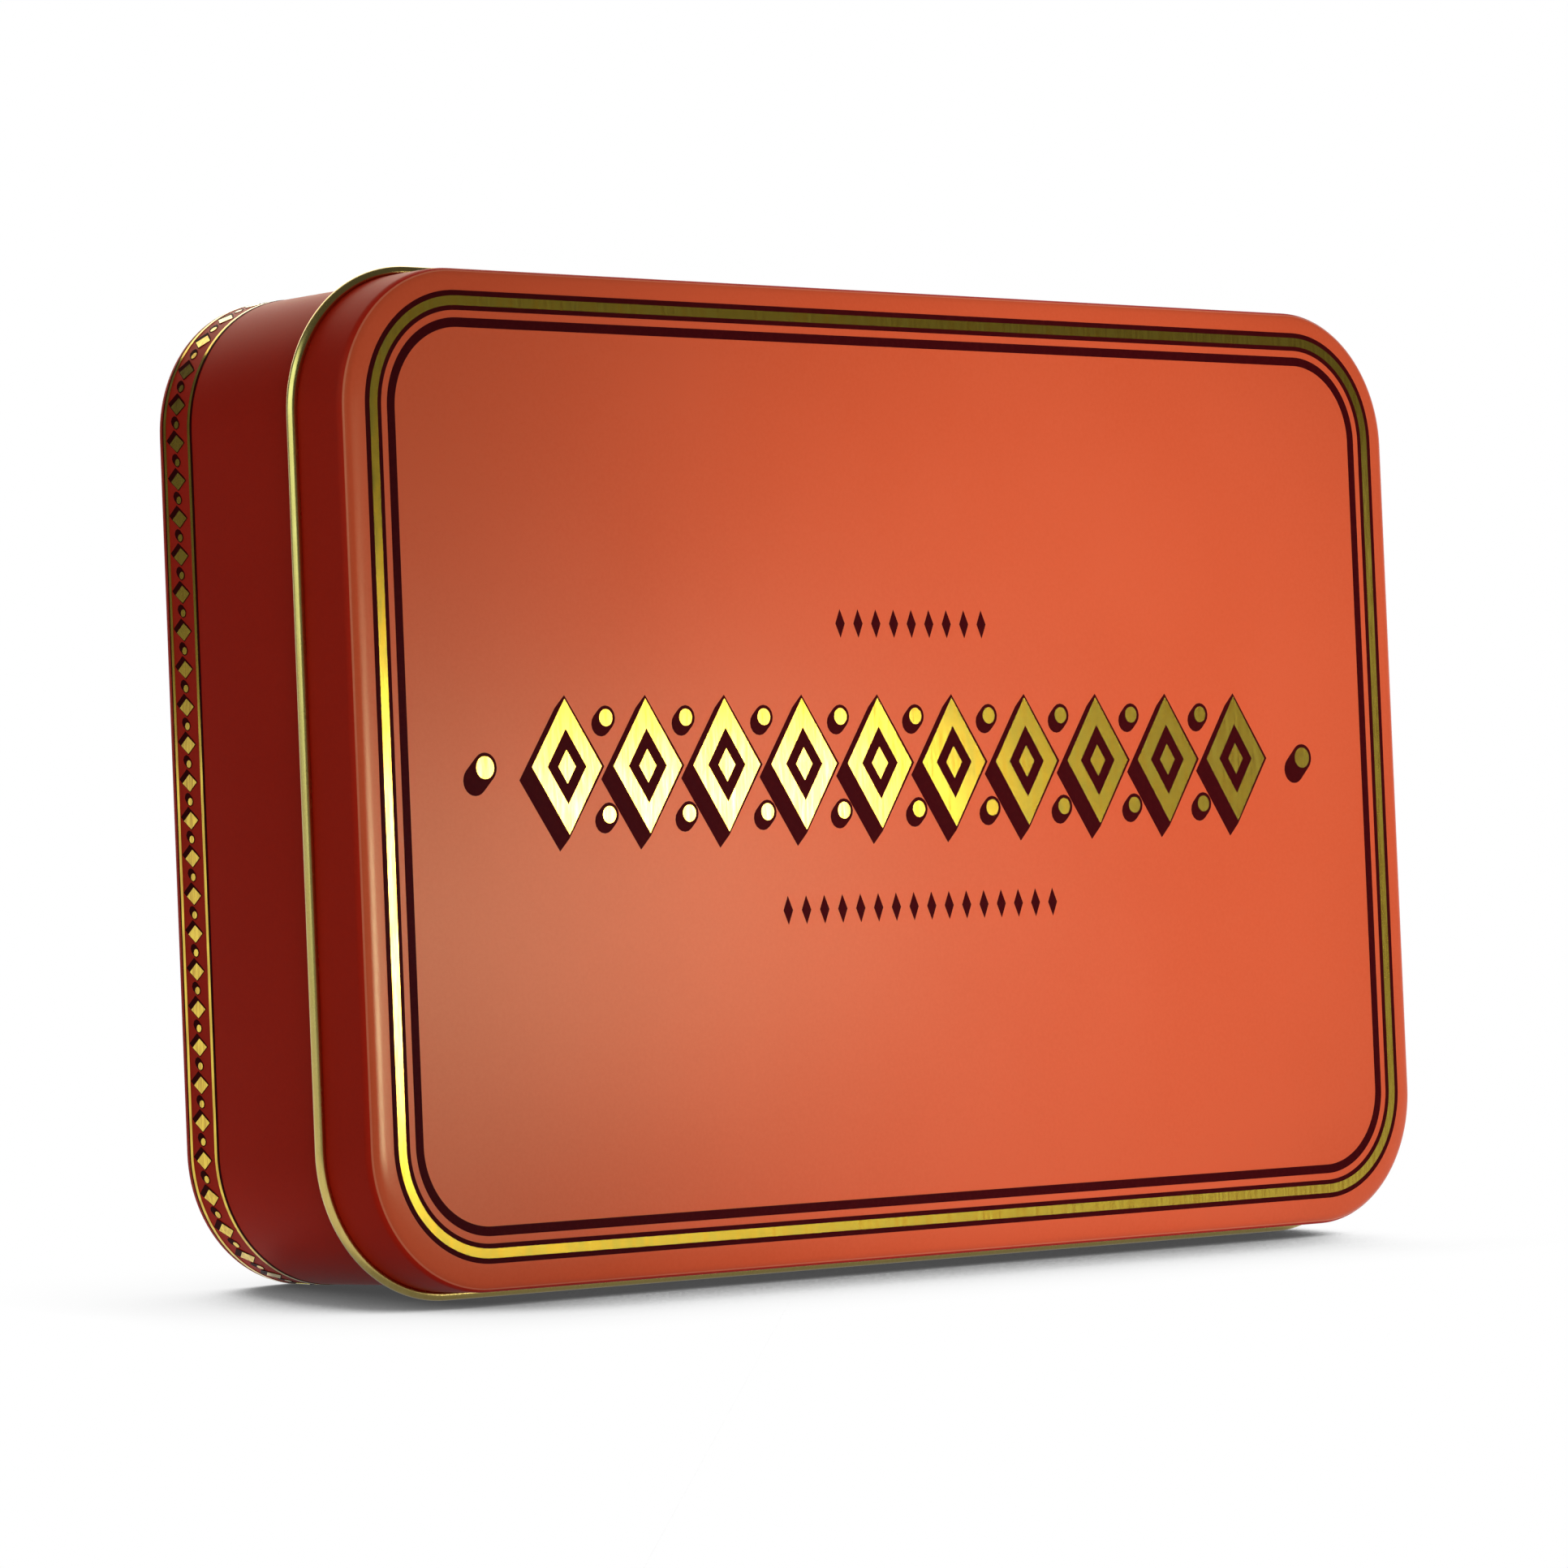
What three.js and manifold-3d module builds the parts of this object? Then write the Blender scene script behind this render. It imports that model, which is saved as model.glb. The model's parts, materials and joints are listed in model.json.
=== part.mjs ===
// A slip-lid tin of firelighters, standing on one long side as it does on a shelf.
// Millimetres, +Z up, +X along the long side. The lid's face looks along -Y and leans
// back a little, because the rolled rim of the lid stands proud of the body's wall.
import * as THREE from "three";
import { mergeVertices } from "three/addons/utils/BufferGeometryUtils.js";
import Module from "manifold-3d";

const wasm = await Module();
wasm.setup();

// Driving dimensions of the metalwork

const LID_WIDTH = 170.4; // over the lid's skirt, along the long side
const LID_HEIGHT = 116.4; // over the lid's skirt, along the short side
const LID_CORNER = 16.7; // corner radius of the lid's skirt
const LID_DEPTH = 9.75; // lid's face to the back of its rolled rim
const TIN_DEPTH = 36.7; // lid's face to the back of the body
const SHEET = 0.3; // tinplate with its lacquer and print
const FOLD_RADIUS = 2; // fold between the lid's face and skirt
const RIM_ROLL = 1.3; // thickness of the lid's outward roll
const MOUTH_ROLL = 1.8; // thickness of the inward roll at the body's mouth
const HEEL_RADIUS = 1.5; // fold at the back of the body
const HEEL_FLANGE = 3.5; // how far the wall turns in under the bottom panel
const SLIP_CLEARANCE = 0.4; // lid's skirt to the body's wall
const SEAT_GAP = 0.35; // body's mouth to the lid's panel
const PANEL_CLEARANCE = 0.3; // bottom panel to the wall and its heel
const PANEL_RIM = 3.2; // upturned edge of the bottom panel
const PANEL_LAND = 7; // flat border of the bottom panel, from the wall
const PANEL_STEP = 1.5; // how far the panel's middle is pressed in
const STEP_RUN = 1.6; // width of the sloping step
const SEAM_WIDTH = 5; // folded lock seam inside the upper wall
const SEAM_THICKNESS = 0.6;

// Driving dimensions of the wood-wool firelighters

const ROLL_DIAMETER = 26;
const ROLL_LENGTH = 26;
const ROLL_EDGE = 1.6; // rounding of the cut ends
const ROLL_GAP = 0.5; // between neighbours side by side
const REST_GAP = 0.3; // between a piece and what it rests on
const TWIST_LOBES = 4; // ridges of the twisted rope
const LOBE_DEPTH = 1.2; // valley between two ridges
const TWIST_TURN = Math.PI * 0.4; // twist of a ridge from end to end

// Fineness of the round stretches

const CORNER_STEPS = 8;
const ARC_STEPS = 5;
const ROLL_STEPS = 12;
const ROPE_SIDES = 16;
const ROPE_RINGS = 3;

// Sizes that follow

const bodyReach = LID_CORNER - SHEET - SLIP_CLEARANCE; // corner radius of the body's wall
const panelReach = bodyReach - SHEET - PANEL_CLEARANCE; // and of the bottom panel's rim
const mouthDepth = SHEET + SEAT_GAP;
const innerRimReach = panelReach - SHEET;
const panelBack = TIN_DEPTH - SHEET - PANEL_CLEARANCE;
const panelSeat = panelBack - PANEL_STEP - SHEET; // inside face that the firelighters lie on
const core = { x: LID_WIDTH / 2 - LID_CORNER, z: LID_HEIGHT / 2 - LID_CORNER };

const finishes = {
  lid: { color: 0xd65a38, roughness: 0.42, metalness: 0.1 },
  wall: { color: 0x8f2417, roughness: 0.42, metalness: 0.1 },
  lacquer: { color: 0xc9a227, roughness: 0.3, metalness: 0.9 },
  woodWool: { color: 0xd8bd85, roughness: 0.85, metalness: 0 },
};

function makeMesh(name, geometry, finish) {
  const mesh = new THREE.Mesh(geometry, new THREE.MeshStandardMaterial(finishes[finish]));
  mesh.name = name;
  return mesh;
}

// Stations round the tin: a corner's centre and a direction out of it. A point of a section
// lies at its reach from that centre, so every outline here is concentric.
function makeStations() {
  const signs = [[1, 1], [-1, 1], [-1, -1], [1, -1]];
  return signs.flatMap(([signX, signZ], corner) =>
    Array.from({ length: CORNER_STEPS + 1 }, (_, step) => {
      const angle = (corner + step / CORNER_STEPS) * (Math.PI / 2);
      return { x: signX * core.x, z: signZ * core.z, cos: Math.cos(angle), sin: Math.sin(angle) };
    }),
  );
}

// The two faces of a sheet whose middle follows a path of (reach, depth) points.
function sheetFaces(path) {
  const points = path.getPoints().filter((p, i, all) => i === 0 || p.distanceTo(all[i - 1]) > 1e-6);
  const normals = points.slice(1).map((p, i) => {
    const along = p.clone().sub(points[i]).normalize();
    return new THREE.Vector2(along.y, -along.x);
  });
  const face = (side) =>
    points.map((p, i) => {
      const before = normals[Math.max(i - 1, 0)];
      const after = normals[Math.min(i, normals.length - 1)];
      const miter = before.clone().add(after).divideScalar(1 + before.dot(after));
      return p.clone().addScaledVector(miter, (side * SHEET) / 2);
    });
  return { outer: face(1), inner: face(-1) };
}

// Carries a sheet's section round the stations. An open wall closes on itself at both edges;
// a pan is closed by two flat panels where its section starts.
function sweepSheet(path, isPan) {
  const { outer, inner } = sheetFaces(path);
  const section = [...outer, ...inner.reverse()];
  const stations = makeStations();
  const count = stations.length;
  const positions = section.flatMap((p) =>
    stations.flatMap((s) => [s.x + p.x * s.cos, p.y, s.z + p.x * s.sin]),
  );
  const faces = [];
  const joins = isPan ? section.length - 1 : section.length;
  for (let j = 0; j < joins; j++) {
    const next = (j + 1) % section.length;
    for (let i = 0; i < count; i++) {
      const k = (i + 1) % count;
      const [a, b, c, d] = [j * count + i, next * count + i, next * count + k, j * count + k];
      faces.push(a, b, c, a, c, d);
    }
  }
  if (isPan) {
    const last = section.length - 1;
    const front = positions.push(0, section[0].y, 0) / 3 - 1;
    const back = positions.push(0, section[last].y, 0) / 3 - 1;
    for (let i = 0; i < count; i++) {
      const k = (i + 1) % count;
      faces.push(front, i, k, back, last * count + k, last * count + i);
    }
  }
  const geometry = new THREE.BufferGeometry();
  geometry.setAttribute("position", new THREE.Float32BufferAttribute(positions, 3));
  geometry.setIndex(faces);
  geometry.computeVertexNormals();
  return geometry;
}

// A section's path that takes arcs with their own fineness.
class SectionPath extends THREE.Path {
  bend(centre, radius, from, to, steps) {
    const arc = new THREE.EllipseCurve(...centre, radius, radius, from, to, to < from);
    arc.getPoints(steps).forEach((p) => this.lineTo(p.x, p.y));
    return this;
  }
}

function solidOf(geometry) {
  const bare = geometry.clone();
  bare.deleteAttribute("normal");
  bare.deleteAttribute("uv");
  const merged = mergeVertices(bare, 1e-4);
  const vertProperties = merged.attributes.position.array;
  return new wasm.Manifold(
    new wasm.Mesh({ numProp: 3, vertProperties, triVerts: new Uint32Array(merged.index.array) }),
  );
}

function joined(first, second) {
  const mesh = solidOf(first).add(solidOf(second)).getMesh();
  const geometry = new THREE.BufferGeometry();
  geometry.setAttribute("position", new THREE.Float32BufferAttribute(mesh.vertProperties, 3));
  geometry.setIndex(Array.from(mesh.triVerts));
  geometry.computeVertexNormals();
  return geometry;
}

// Lid: one drawn pan whose rim rolls outwards, so the roll shows the inside of the sheet.
function makeLid() {
  const half = SHEET / 2;
  const rollRadius = RIM_ROLL / 2 - half;
  const rollCentre = [LID_CORNER - half + rollRadius, LID_DEPTH - RIM_ROLL / 2];
  const path = new SectionPath();
  path.moveTo(LID_CORNER - FOLD_RADIUS - SHEET, half);
  path.bend([LID_CORNER - FOLD_RADIUS, FOLD_RADIUS], FOLD_RADIUS - half, -Math.PI / 2, 0, ARC_STEPS);
  path.bend(rollCentre, rollRadius, Math.PI, -Math.PI * 0.8, ROLL_STEPS);
  return makeMesh("lid", sweepSheet(path, true), "lid");
}

// Body wall: one band with a rolled-in mouth, turned in at the back under the bottom panel.
function makeBodyWall() {
  const half = SHEET / 2;
  const mouthRadius = MOUTH_ROLL / 2;
  const heelRadius = HEEL_RADIUS - half;
  const mouthCentre = [bodyReach - mouthRadius, mouthDepth + mouthRadius];
  const heelCentre = [bodyReach - HEEL_RADIUS, TIN_DEPTH - HEEL_RADIUS];
  const start = new THREE.Vector2(...mouthCentre).add(
    new THREE.Vector2(mouthRadius - half, 0).rotateAround(new THREE.Vector2(), -Math.PI * 1.4),
  );
  const path = new SectionPath();
  path.moveTo(start.x, start.y);
  path.bend(mouthCentre, mouthRadius - half, -Math.PI * 1.4, 0, ROLL_STEPS);
  path.bend(heelCentre, heelRadius, 0, Math.PI / 2, ARC_STEPS);
  path.lineTo(bodyReach - HEEL_FLANGE, TIN_DEPTH - half);

  // The lock seam where the band's two ends hook together, folded flat inside the upper wall.
  const seamStart = mouthDepth + MOUTH_ROLL + REST_GAP;
  const seamEnd = panelBack - PANEL_RIM - PANEL_CLEARANCE;
  const seam = new THREE.BoxGeometry(SEAM_WIDTH, seamEnd - seamStart, SEAM_THICKNESS + half);
  const seamTop = core.z + bodyReach - half;
  seam.translate(0, (seamStart + seamEnd) / 2, seamTop - (SEAM_THICKNESS + half) / 2);
  return makeMesh("body_wall", joined(sweepSheet(path, false), seam), "wall");
}

// Bottom panel: a shallow pan set into the heel, its middle pressed towards the lid.
function makeBottomPanel() {
  const half = SHEET / 2;
  const land = panelBack - half;
  const bendRadius = HEEL_RADIUS - SHEET - PANEL_CLEARANCE - half;
  const bendCentre = [panelReach - half - bendRadius, land - bendRadius];
  const path = new SectionPath();
  path.moveTo(panelReach - PANEL_LAND - STEP_RUN - SHEET, land - PANEL_STEP);
  path.lineTo(panelReach - PANEL_LAND - STEP_RUN, land - PANEL_STEP);
  path.lineTo(panelReach - PANEL_LAND, land);
  path.bend(bendCentre, bendRadius, Math.PI / 2, 0, ARC_STEPS);
  path.lineTo(panelReach - half, panelBack - PANEL_RIM);
  return makeMesh("bottom_panel", sweepSheet(path, true), "lacquer");
}

// A firelighter: a length cut from a twisted rope of waxed wood wool. It lies along Y.
function makeFirelighter(name, phase) {
  const radius = ROLL_DIAMETER / 2;
  const end = ROLL_LENGTH / 2;
  const profile = [new THREE.Vector2(0, -end), new THREE.Vector2(radius - ROLL_EDGE, -end)];
  for (let ring = 0; ring < ROPE_RINGS; ring++) {
    const share = ring / (ROPE_RINGS - 1);
    profile.push(new THREE.Vector2(radius, (2 * share - 1) * (end - ROLL_EDGE)));
  }
  profile.push(new THREE.Vector2(radius - ROLL_EDGE, end), new THREE.Vector2(0, end));
  const geometry = new THREE.LatheGeometry(profile, ROPE_SIDES);
  const position = geometry.attributes.position;
  for (let i = 0; i < position.count; i++) {
    const [x, y, z] = [position.getX(i), position.getY(i), position.getZ(i)];
    const turn = (Math.atan2(z, x) + (TWIST_TURN * y) / ROLL_LENGTH) * TWIST_LOBES + phase;
    const share = 1 - (LOBE_DEPTH / radius) * (0.5 - 0.5 * Math.cos(turn));
    position.setXYZ(i, x * share, y, z * share);
  }
  return makeMesh(name, geometry, "woodWool");
}

// The firelighters are packed on end against the bottom panel, so in the standing tin they
// lie in rows one on another, the lowest on the panel's rim.
function makeFirelighters() {
  const group = new THREE.Group();
  const pitch = ROLL_DIAMETER + ROLL_GAP;
  const rowPitch = ROLL_DIAMETER + REST_GAP;
  const columns = Math.floor((2 * (core.x + innerRimReach) - ROLL_GAP) / pitch);
  const rows = Math.floor((2 * (core.z + innerRimReach) - SEAM_THICKNESS - REST_GAP) / rowPitch);
  const lowest = -core.z - innerRimReach + REST_GAP + ROLL_DIAMETER / 2;
  for (let row = 0; row < rows; row++) {
    for (let column = 0; column < columns; column++) {
      const number = String(row * columns + column + 1).padStart(2, "0");
      const roll = makeFirelighter(`firelighter_${number}`, column * 1.9 + row * 0.8);
      roll.position.set(
        (column - (columns - 1) / 2) * pitch,
        panelSeat - REST_GAP - ROLL_LENGTH / 2,
        lowest + row * rowPitch,
      );
      group.add(roll);
    }
  }
  return group;
}

// The tin leans back until the roll of the lid and the heel of the body meet the shelf together.
function leanAngle() {
  const roll = { y: LID_DEPTH - RIM_ROLL / 2, z: -core.z - LID_CORNER + SHEET - RIM_ROLL / 2 };
  const heel = { y: TIN_DEPTH - HEEL_RADIUS, z: -core.z - bodyReach + HEEL_RADIUS };
  const [run, rise] = [heel.y - roll.y, heel.z - roll.z];
  return Math.atan2(rise, run) + Math.asin((RIM_ROLL / 2 - HEEL_RADIUS) / Math.hypot(run, rise));
}

const body = new THREE.Group();
body.add(makeBodyWall(), makeBottomPanel(), makeFirelighters());

const tin = new THREE.Group();
tin.add(makeLid(), body);
tin.rotation.x = -leanAngle();

const part = new THREE.Group();
part.add(tin);
part.updateMatrixWorld(true);
const box = new THREE.Box3().setFromObject(tin, true);
tin.position.set(0, -(box.min.y + box.max.y) / 2, -box.min.z);

export default part;
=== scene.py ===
# Looks of a slip-lid tin of firelighters: printed tinplate, gold lacquer, wood wool.
import json
import math
import random

import bmesh
import bpy
from mathutils import Matrix, Quaternion, Vector


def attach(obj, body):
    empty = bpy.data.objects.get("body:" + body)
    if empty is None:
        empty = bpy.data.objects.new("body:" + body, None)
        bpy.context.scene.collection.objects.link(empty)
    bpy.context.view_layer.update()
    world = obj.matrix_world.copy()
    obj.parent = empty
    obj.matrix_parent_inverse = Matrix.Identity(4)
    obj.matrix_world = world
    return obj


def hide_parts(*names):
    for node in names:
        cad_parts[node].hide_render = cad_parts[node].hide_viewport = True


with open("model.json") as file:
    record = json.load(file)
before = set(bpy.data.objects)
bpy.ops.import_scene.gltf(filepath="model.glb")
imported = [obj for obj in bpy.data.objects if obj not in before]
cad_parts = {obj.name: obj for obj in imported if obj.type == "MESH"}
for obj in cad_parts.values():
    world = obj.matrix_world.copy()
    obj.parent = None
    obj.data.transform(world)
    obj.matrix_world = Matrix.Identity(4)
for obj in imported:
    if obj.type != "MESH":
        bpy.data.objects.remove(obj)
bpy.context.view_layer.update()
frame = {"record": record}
mm = 0.001

# The lid's face fixes the tin's place: its middle and how far it leans back.
lidMount = next(m for m in frame["record"]["mounts"] if m["name"] == "lid_face")
faceMiddle = Vector(lidMount["pos_m"])
lean = math.atan2(lidMount["axis"][2], -lidMount["axis"][1])
standTin = Matrix.Translation(faceMiddle) @ Matrix.Rotation(-lean, 4, "X")

# Sizes shared by the sheet-metal pieces, in mm. Depth runs back from the lid's face, and
# reach runs out from the centre of a corner, so every outline is concentric.
tin = {
    "width": 170.4,
    "height": 116.4,
    "corner": 16.7,
    "depth": 36.7,
    "sheet": 0.3,
    "slip": 0.4,
    "panelGap": 0.3,
    "cornerSteps": 28,
    "bendAngle": 9,  # degrees of a bend per step
}
coreX = tin["width"] / 2 - tin["corner"]
coreZ = tin["height"] / 2 - tin["corner"]
halfSheet = tin["sheet"] / 2
bodyReach = tin["corner"] - tin["sheet"] - tin["slip"]
panelReach = bodyReach - tin["sheet"] - tin["panelGap"]
panelBack = tin["depth"] - tin["sheet"] - tin["panelGap"]

# How near points count as one or as level, in mm, and the angle that still shades smooth.
meshing = {"weld": 0.002, "level": 0.001, "margin": 0.01, "smooth": 32}


# Materials

def hexColour(text):
    # sRGB hex to linear RGBA
    channels = [int(text[i : i + 2], 16) / 255 for i in (1, 3, 5)]
    linear = [c / 12.92 if c <= 0.04045 else ((c + 0.055) / 1.055) ** 2.4 for c in channels]
    return (*linear, 1.0)


def addNode(tree, kind, inputs=None, stops=None, **settings):
    # inputs maps a socket's name or number to a value or to another node's output, and stops
    # lists a ramp's positions with their colours
    node = tree.nodes.new(kind)
    for name, value in settings.items():
        setattr(node, name, value)
    for name, value in (inputs or {}).items():
        if isinstance(value, bpy.types.NodeSocket):
            tree.links.new(value, node.inputs[name])
        else:
            node.inputs[name].default_value = value
    for number, (position, colour) in enumerate(stops or []):
        elements = node.color_ramp.elements
        stop = elements[number] if number < 2 else elements.new(position)  # two are there
        stop.position = position
        stop.color = colour
    return node


def newMaterial(name):
    material = bpy.data.materials.new(name)
    material.use_nodes = True
    tree = material.node_tree
    tree.nodes.clear()
    shader = addNode(tree, "ShaderNodeBsdfPrincipled")
    addNode(tree, "ShaderNodeOutputMaterial", {"Surface": shader.outputs["BSDF"]})
    place = addNode(tree, "ShaderNodeTexCoord").outputs["Object"]
    return material, tree, shader, place


def patternScale(millimetres):
    # noise cells per metre for a grain of this size
    return 1 / (millimetres * mm)


printed = {
    "grain": 0.45,
    "cloud": 38,
    "grainShare": 0.35,
    "toneRange": (0.3, 0.6),
    "glossSpread": (-0.04, 0.05),
    "relief": 0.06,
    "reliefDepth": 0.02,
    "ior": 1.5,
    "glow": "#FFF8BC",  # the tin glows through
}


def makePrintedTinplate(name, colour, deeper, roughness, sheen):
    # Litho print under satin varnish on smooth tinplate: an even colour with a faint grain
    # from the varnish, a broad soft sheen and no mirror image.
    material, tree, shader, place = newMaterial(name)
    grain = addNode(
        tree, "ShaderNodeTexNoise",
        {"Vector": place, "Scale": patternScale(printed["grain"]), "Detail": 3.0},
    )
    cloud = addNode(
        tree, "ShaderNodeTexNoise",
        {"Vector": place, "Scale": patternScale(printed["cloud"]), "Detail": 2.0},
    )
    blend = addNode(
        tree, "ShaderNodeMix",
        {"Factor": printed["grainShare"], "A": cloud.outputs["Fac"], "B": grain.outputs["Fac"]},
        data_type="FLOAT",
    )
    tone = addNode(
        tree, "ShaderNodeValToRGB", {"Fac": blend.outputs["Result"]},
        stops=zip(printed["toneRange"], (hexColour(deeper), hexColour(colour))),
    )
    tree.links.new(tone.outputs["Color"], shader.inputs["Base Color"])
    smoothest, roughest = [roughness + spread for spread in printed["glossSpread"]]
    gloss = addNode(
        tree, "ShaderNodeMapRange",
        {"Value": grain.outputs["Fac"], "To Min": smoothest, "To Max": roughest},
    )
    tree.links.new(gloss.outputs["Result"], shader.inputs["Roughness"])
    skin = addNode(
        tree, "ShaderNodeBump",
        {
            "Height": grain.outputs["Fac"],
            "Strength": printed["relief"],
            "Distance": printed["reliefDepth"] * mm,
        },
    )
    tree.links.new(skin.outputs["Normal"], shader.inputs["Normal"])
    shader.inputs["IOR"].default_value = printed["ior"]
    shader.inputs["Specular IOR Level"].default_value = sheen
    shader.inputs["Specular Tint"].default_value = hexColour(printed["glow"])
    return material


lacquered = {
    "line": 0.5,
    "lineStretch": (1.0, 1.0, 0.09),  # rolling lines run up the face
    "toneRange": (0.35, 0.65),
    "glossRange": (0.3, 0.7),
    "reliefDepth": 0.02,
    "coat": 0.5,  # the lacquer's own white gleam
}


def makeGoldLacquer(name, colour, deeper, roughness, relief):
    # Clear yellow lacquer on rolled tinplate: the metal's rolling lines run up the face and
    # break the reflection into fine streaks, drawn a little coarser than they are.
    material, tree, shader, place = newMaterial(name)
    along = addNode(
        tree, "ShaderNodeMapping", {"Vector": place, "Scale": lacquered["lineStretch"]}
    )
    lines = addNode(
        tree, "ShaderNodeTexNoise",
        {
            "Vector": along.outputs["Vector"],
            "Scale": patternScale(lacquered["line"]),
            "Detail": 4.0,
            "Roughness": 0.65,
        },
    )
    tone = addNode(
        tree, "ShaderNodeValToRGB", {"Fac": lines.outputs["Fac"]},
        stops=zip(lacquered["toneRange"], (hexColour(deeper), hexColour(colour))),
    )
    tree.links.new(tone.outputs["Color"], shader.inputs["Base Color"])
    smoothest, roughest = roughness
    gloss = addNode(
        tree, "ShaderNodeMapRange",
        {
            "Value": lines.outputs["Fac"],
            "From Min": lacquered["glossRange"][0],
            "From Max": lacquered["glossRange"][1],
            "To Min": roughest,
            "To Max": smoothest,
        },
    )
    tree.links.new(gloss.outputs["Result"], shader.inputs["Roughness"])
    skin = addNode(
        tree, "ShaderNodeBump",
        {
            "Height": lines.outputs["Fac"],
            "Strength": relief,
            "Distance": lacquered["reliefDepth"] * mm,
        },
    )
    tree.links.new(skin.outputs["Normal"], shader.inputs["Normal"])
    shader.inputs["Metallic"].default_value = 1.0
    shader.inputs["Coat Weight"].default_value = lacquered["coat"]
    shader.inputs["Coat Roughness"].default_value = smoothest
    return material


inked = {"dust": 0.6, "toneRange": (0.45, 0.9), "gloss": (0.26, 0.36), "ior": 1.5, "sheen": 0.01}


def makeInk(name, colour, lighter):
    # Dark litho ink with a satin varnish: near black red, a little broken by dust
    material, tree, shader, place = newMaterial(name)
    dust = addNode(
        tree, "ShaderNodeTexNoise",
        {"Vector": place, "Scale": patternScale(inked["dust"]), "Detail": 4.0},
    )
    tone = addNode(
        tree, "ShaderNodeValToRGB", {"Fac": dust.outputs["Fac"]},
        stops=zip(inked["toneRange"], (hexColour(colour), hexColour(lighter))),
    )
    tree.links.new(tone.outputs["Color"], shader.inputs["Base Color"])
    smoothest, roughest = inked["gloss"]
    gloss = addNode(
        tree, "ShaderNodeMapRange",
        {"Value": dust.outputs["Fac"], "To Min": smoothest, "To Max": roughest},
    )
    tree.links.new(gloss.outputs["Result"], shader.inputs["Roughness"])
    shader.inputs["IOR"].default_value = inked["ior"]
    shader.inputs["Specular IOR Level"].default_value = inked["sheen"]
    return material


shavings = {
    "grain": 0.7,
    "grainShare": 0.4,
    "toneRange": (0.15, 0.75),
    "gloss": (0.5, 0.75),
    "relief": 0.3,
    "reliefDepth": 0.1,
    "ior": 1.45,
}


def makeWoodWool(name, colour, deeper):
    # Spruce shavings soaked in wax: pale straw, each strand its own tone, fine grain along it
    material, tree, shader, place = newMaterial(name)
    island = addNode(tree, "ShaderNodeNewGeometry").outputs["Random Per Island"]
    grain = addNode(
        tree, "ShaderNodeTexNoise",
        {"Vector": place, "Scale": patternScale(shavings["grain"]), "Detail": 3.0},
    )
    blend = addNode(
        tree, "ShaderNodeMix",
        {"Factor": shavings["grainShare"], "A": island, "B": grain.outputs["Fac"]},
        data_type="FLOAT",
    )
    tone = addNode(
        tree, "ShaderNodeValToRGB", {"Fac": blend.outputs["Result"]},
        stops=zip(shavings["toneRange"], (hexColour(deeper), hexColour(colour))),
    )
    tree.links.new(tone.outputs["Color"], shader.inputs["Base Color"])
    skin = addNode(
        tree, "ShaderNodeBump",
        {
            "Height": grain.outputs["Fac"],
            "Strength": shavings["relief"],
            "Distance": shavings["reliefDepth"] * mm,
        },
    )
    tree.links.new(skin.outputs["Normal"], shader.inputs["Normal"])
    smoothest, roughest = shavings["gloss"]
    gloss = addNode(
        tree, "ShaderNodeMapRange",
        {"Value": grain.outputs["Fac"], "To Min": smoothest, "To Max": roughest},
    )
    tree.links.new(gloss.outputs["Result"], shader.inputs["Roughness"])
    shader.inputs["IOR"].default_value = shavings["ior"]
    return material


orangePrint = makePrintedTinplate("orangePrintOnTinplate", "#DC5C38", "#D75631", 0.195, 0.175)
# a paler orange, painted as a highlight line in a narrow band along the lid's fold
paintedFoldHighlight = makePrintedTinplate("paintedFoldHighlightBand", "#E77B59", "#E07452", 0.19, 0.15)
# the sides' red: drawn deeper and redder than the face, partly the print's own colour and partly
# painted shade
sideRedWithShade = makePrintedTinplate("sideRedAndPaintedShade", "#CB2816", "#C42211", 0.42, 0.05)
goldFoil = makeGoldLacquer("goldLacquerPrint", "#E6C944", "#B89220", (0.08, 0.16), 0.05)
goldSheet = makeGoldLacquer("goldLacqueredTinplate", "#C6B064", "#BEA658", (0.24, 0.28), 0.01)
maroonInk = makeInk("maroonInk", "#3E070B", "#480C0E")
woodWool = makeWoodWool("waxedWoodWool", "#F4E4BC", "#D2AC6E")
print("materials made")


# Sheet metal: a section is drawn by running and bending, then carried round the tin.

def startPiece(name):
    bpy.ops.object.select_all(action="DESELECT")
    bpy.ops.mesh.primitive_plane_add(size=mm)
    piece = bpy.context.active_object
    piece.name = name
    piece.data.name = name
    return piece


def selectPoints(piece, test):
    bpy.ops.mesh.select_all(action="DESELECT")
    mesh = bmesh.from_edit_mesh(piece.data)
    for point in mesh.verts:
        point.select_set(test(point.co))
    mesh.select_flush(True)
    bmesh.update_edit_mesh(piece.data)


def drawSection(start, heading, bends):
    # bends holds (run, radius, degrees): straight on, then a bend, positive towards the back
    bpy.ops.object.mode_set(mode="EDIT")
    bpy.ops.mesh.select_all(action="SELECT")
    bpy.ops.mesh.merge(type="CENTER")
    bpy.ops.transform.translate(value=((coreX + start[0]) * mm, start[1] * mm, coreZ * mm))
    here, angle = Vector(start), math.radians(heading)
    for run, radius, degrees in bends:
        step = Vector((math.cos(angle), math.sin(angle))) * run
        if run > 0:
            bpy.ops.mesh.extrude_region_move(
                TRANSFORM_OT_translate={"value": (step.x * mm, step.y * mm, 0)}
            )
        here += step
        if degrees:
            turn = math.radians(degrees)
            side = math.copysign(1, turn)
            centre = here + Vector((-math.sin(angle), math.cos(angle))) * radius * side
            bpy.ops.mesh.spin(
                steps=max(2, round(abs(degrees) / tin["bendAngle"])),
                angle=-turn,
                center=((coreX + centre.x) * mm, centre.y * mm, coreZ * mm),
                axis=(0, 0, 1),
            )
            angle += turn
            here = centre + Vector((math.sin(angle), -math.cos(angle))) * radius * side


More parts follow.
